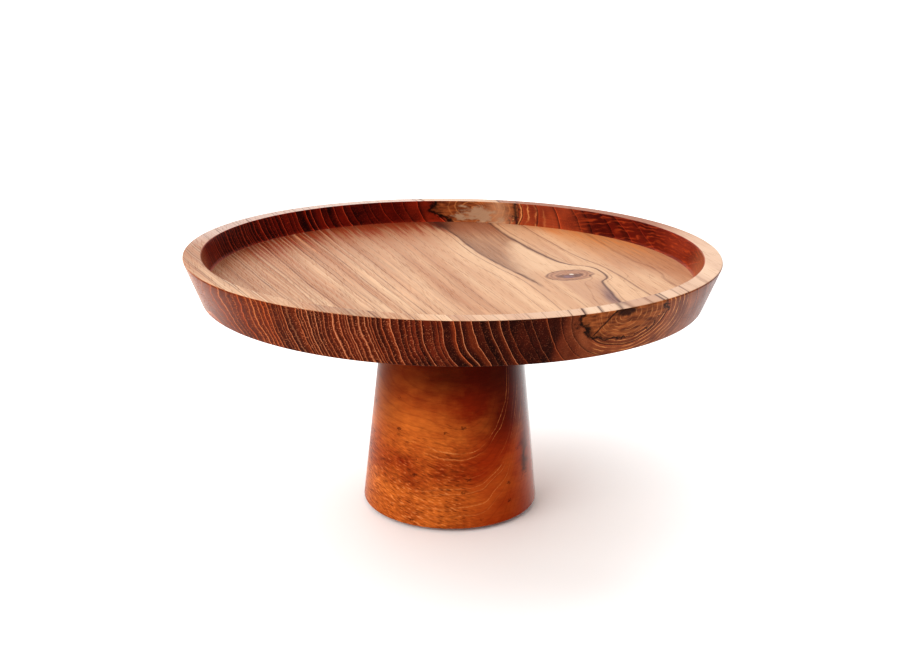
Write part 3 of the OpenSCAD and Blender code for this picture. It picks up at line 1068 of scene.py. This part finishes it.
def flange_screw(index, place, material):
    """A countersunk wood screw: cross-head recess, plain shank under the head, thread and point."""
    segments = 48
    angles = TURN * np.arange(segments) / segments
    top = joint_z + SCREW_L
    shoulder = joint_z + SCREW_HEAD_H
    stations = [
        (0, joint_z),
        (SCREW_HEAD_R - 0.15 * MM, joint_z),
        (SCREW_HEAD_R, joint_z + 0.15 * MM),
        (SCREW_R * 0.8, shoulder),
    ]
    for z in np.arange(shoulder + 0.2 * MM, top - 0.2 * MM, SCREW_PITCH / SCREW_ROWS):
        taper = min(1.0, (top - z) / SCREW_TIP_H)
        stations.append((thread(angles, z, SCREW_PITCH, SCREW_R * 0.68, SCREW_R, 0.04) * taper, z))
    stations.append((0, top))
    piece = turned(f"screw_{index}", stations, segments=segments, centre=place, sharp=35)
    # Each screw was driven home to a turn of its own.
    turn = 0.4 + index * 1.3
    for k in range(2):
        cut(piece, [recess_bar(f"bar_{index}_{k}", place, turn + k * math.pi / 2)], sharp=35)
    finish_piece(piece, "plate", f"flange_screw_{index}", material)


def joint_washer(material):
    """The soft washer round the stud."""
    piece = flat_ring("washer_ring", STUD_R + WASHER_HOLE_PLAY, washer_low.z, washer_high, 0.3 * MM, 120)
    finish_piece(piece, "washer", "joint_washer", material)


def foot_pad(index, material):
    """A self-adhesive pad with a rounded lower edge and a shallow dish in its underside."""
    low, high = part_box(f"foot_pad_{index}")
    middle, radius = (low + high) / 2, (high.x - low.x) / 2
    corners = [
        (0, low.z + PAD_DISH, 0),
        (radius * 0.55, low.z + PAD_DISH, 0),
        (radius * 0.68, low.z, 0.2 * MM),
        (radius, low.z, 0.5 * MM),
        (radius, high.z, 0),
        (0, high.z, 0),
    ]
    piece = turned(f"pad_{index}", outline(corners, steps=5), segments=72, centre=middle[:2])
    finish_piece(piece, "pedestal", f"foot_pad_{index}", material)


# ---- camera, lights and floor

CAMERA_ELEVATION = math.radians(16.68)
CAMERA_ROLL = math.radians(0.63)
CAMERA_DISTANCE = 0.700
CAMERA_LENS = 48.4
CAMERA_TARGET = Vector((-0.001, 0.0, pedestal_low.z + 0.1017))

# (name, strength, spread in degrees, direction of the rays): one from above the back, one from the front left
SUNS = (("top", 1.7, 80, (0.35, -0.5, -1.0)), ("key", 2.0, 45, (0.72, 0.62, -0.5)))
SURROUND_STRENGTH = 0.75
FLOOR_RADIUS = 120.0


def make_camera():
    """The camera in front of the stand, a little above the plate."""
    camera = bpy.data.objects.new("camera", bpy.data.cameras.new("camera"))
    bpy.context.scene.collection.objects.link(camera)
    back = Vector((0, -math.cos(CAMERA_ELEVATION), math.sin(CAMERA_ELEVATION)))
    camera.location = CAMERA_TARGET + back * CAMERA_DISTANCE
    aim = (-back).to_track_quat("-Z", "Y").to_matrix()
    camera.rotation_euler = (aim @ Matrix.Rotation(CAMERA_ROLL, 3, "Z")).to_euler()
    camera.data.lens = CAMERA_LENS
    camera.data.clip_start, camera.data.clip_end = 0.01, 200
    bpy.context.scene.camera = camera


def make_lights():
    """Two soft suns and a white surround."""
    for name, strength, spread, ray in SUNS:
        sun = bpy.data.lights.new(name, "SUN")
        sun.energy, sun.angle = strength, math.radians(spread)
        lamp = bpy.data.objects.new(name, sun)
        lamp.rotation_euler = Vector(ray).to_track_quat("-Z", "Y").to_euler()
        bpy.context.scene.collection.objects.link(lamp)
    world = bpy.data.worlds.new("surround")
    world.use_nodes = True
    world.node_tree.nodes["Background"].inputs["Color"].default_value = (1, 1, 1, 1)
    world.node_tree.nodes["Background"].inputs["Strength"].default_value = SURROUND_STRENGTH
    bpy.context.scene.world = world
    bpy.context.scene.view_settings.view_transform = "Standard"
    bpy.context.scene.view_settings.look = "Medium High Contrast"


def make_floor():
    """A plain pale floor that reaches past the view."""
    mesh = bmesh.new()
    bmesh.ops.create_circle(mesh, cap_ends=True, radius=FLOOR_RADIUS, segments=96)
    floor = as_object("floor", mesh, 30)
    floor.location.z = table_z
    g = Graph("studio_floor")
    x, y, _ = g.position()
    shade = g.noise(x / 900, y / 900, 0.0, 2.0)
    colour = g.mix(0.5 + shade * 0.5, (0.9, 0.9, 0.9, 1), (0.92, 0.92, 0.92, 1))
    floor.data.materials.append(g.surface(colour, 0.6))


# ---- the stand

make_camera()
make_lights()
make_floor()

zinc = turned_metal("zinc_steel", srgb(214, 216, 218), srgb(178, 180, 184), 0.32)
brass = turned_metal("brass", srgb(226, 190, 120), srgb(190, 150, 84), 0.3)
black_rubber = rubber("black_rubber", srgb(34, 34, 34), srgb(52, 51, 50))
grey_rubber = rubber("grey_rubber", srgb(92, 90, 86), srgb(116, 112, 106))

plate_wood(teak_plate())
pedestal_wood(teak_pedestal())
threaded_stud(zinc)
flange_disc(zinc)
for number, spot in enumerate(screw_places(), 1):
    flange_screw(number, spot, zinc)
threaded_insert(brass)
joint_washer(grey_rubber)
for number in range(1, PAD_COUNT + 1):
    foot_pad(number, black_rubber)
